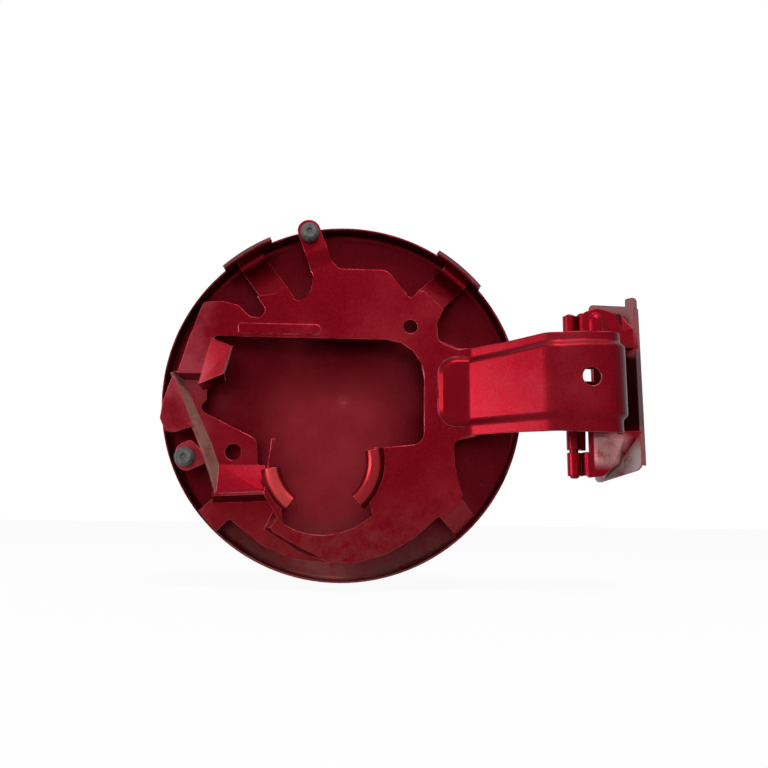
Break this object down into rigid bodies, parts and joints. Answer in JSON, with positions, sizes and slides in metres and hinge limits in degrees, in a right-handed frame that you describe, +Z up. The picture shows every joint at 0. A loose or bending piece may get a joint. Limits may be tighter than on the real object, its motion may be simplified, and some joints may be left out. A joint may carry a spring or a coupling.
{
  "type": "car fuel door",
  "caption": "Round stamped fuel door with a ribbed inner panel, cap-holder lips, rubber buffers and a gooseneck hinge arm on a sloping base plate.",
  "frame": {"origin": "middle between the two bolt holes, on the face of the hinge base's sloping plate that seats on the car body", "axes": "upright as on the car: +X from the lid toward the hinge, +Y outward from the car through the lid's skin, +Z up"},
  "size_m": [0.2187, 0.046, 0.165],
  "materials": {
    "skin_paint": "dark red metallic paint with dust and brown dirt along the rim",
    "panel_paint": "dark red metallic paint, lightly scratched",
    "base_paint": "dark red metallic paint with a dusty film",
    "pin_steel": "overpainted steel",
    "buffer_rubber": "aged grey rubber"
  },
  "bodies": {
    "base": {"hinge_base": "base_paint", "hinge_pin": "pin_steel"},
    "door": {"outer_skin": "skin_paint", "inner_panel": "panel_paint", "upper_buffer": "buffer_rubber", "lower_buffer": "buffer_rubber"}
  },
  "joints": [
    {"name": "door_hinge", "type": "hinge", "parent": "base", "child": "door", "pos_m": [-0.01803, -0.00593, 0], "axis": [0, 0, -1], "range_deg": [0, 95]}
  ]
}
